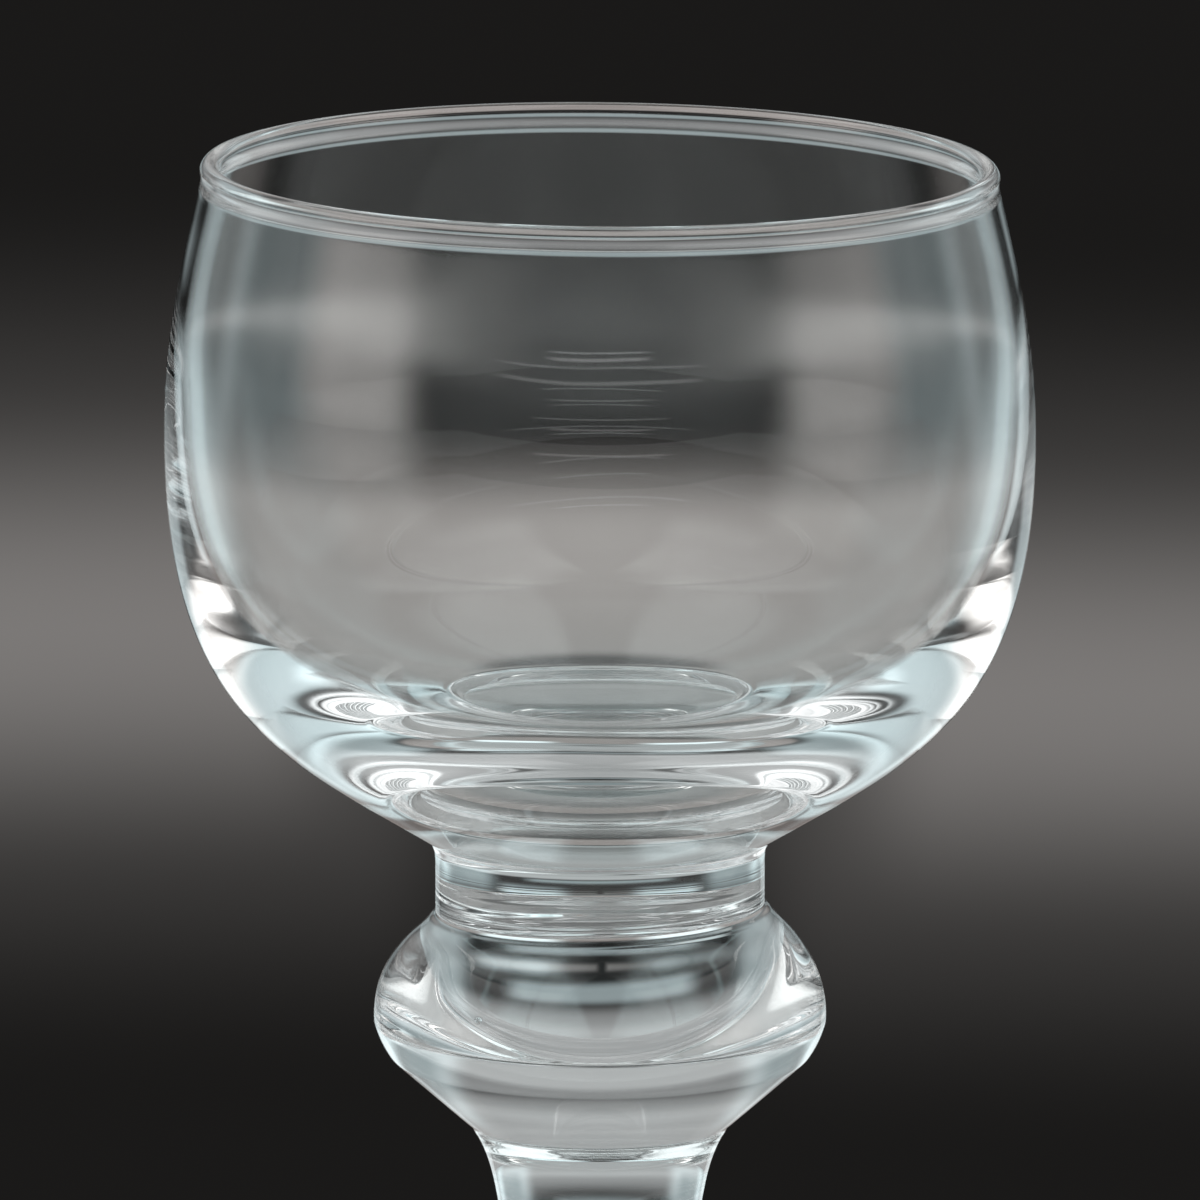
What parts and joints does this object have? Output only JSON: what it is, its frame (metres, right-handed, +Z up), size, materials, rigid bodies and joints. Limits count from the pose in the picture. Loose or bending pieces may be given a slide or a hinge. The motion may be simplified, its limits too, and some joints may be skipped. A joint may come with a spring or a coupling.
{
  "type": "wine glass",
  "caption": "Short, heavy wine goblet in clear glass: a round bowl with a beaded rim on a collar, a fat knop, a waisted stem and a round foot.",
  "frame": {"origin": "centre of the plane that the foot rests on", "axes": "+Z up along the glass's axis of revolution, from the foot to the rim"},
  "size_m": [0.08, 0.08, 0.13],
  "materials": {
    "clear_glass": "fire-polished clear soda-lime glass with a faint blue-green cast"
  },
  "bodies": {
    "root": {"foot": "clear_glass", "stem": "clear_glass", "knop": "clear_glass", "collar": "clear_glass", "bowl": "clear_glass"}
  },
  "joints": []
}
